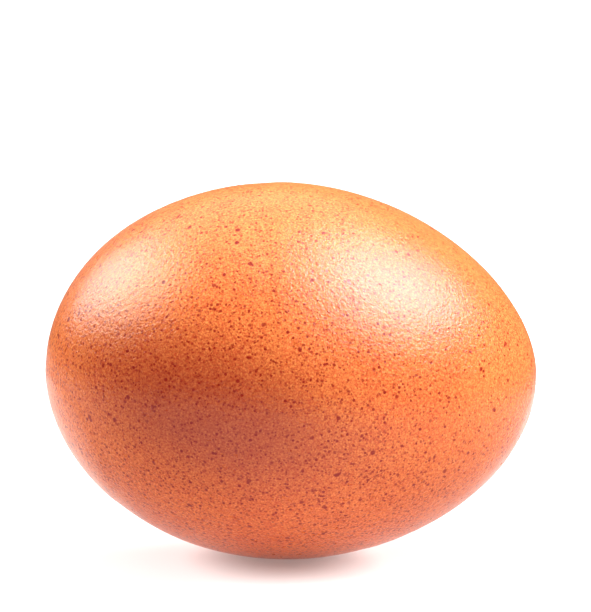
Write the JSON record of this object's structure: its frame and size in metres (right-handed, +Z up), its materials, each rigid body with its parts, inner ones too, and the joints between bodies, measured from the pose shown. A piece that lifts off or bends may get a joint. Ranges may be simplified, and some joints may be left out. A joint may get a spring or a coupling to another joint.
{
  "type": "egg",
  "caption": "Whole brown-shelled hen's egg lying on its side, blunt at one end and more pointed at the other, resting on a small flat spot.",
  "frame": {"origin": "middle of the small flat spot on the underside, straight under the centre of mass", "axes": "+X along the egg towards its pointed end, +Y across the egg, +Z up"},
  "size_m": [0.0574, 0.0442, 0.044],
  "materials": {
    "eggshell": "satin brown shell with fine dark speckles and shallow pores"
  },
  "bodies": {
    "root": {"egg": "eggshell"}
  },
  "joints": []
}
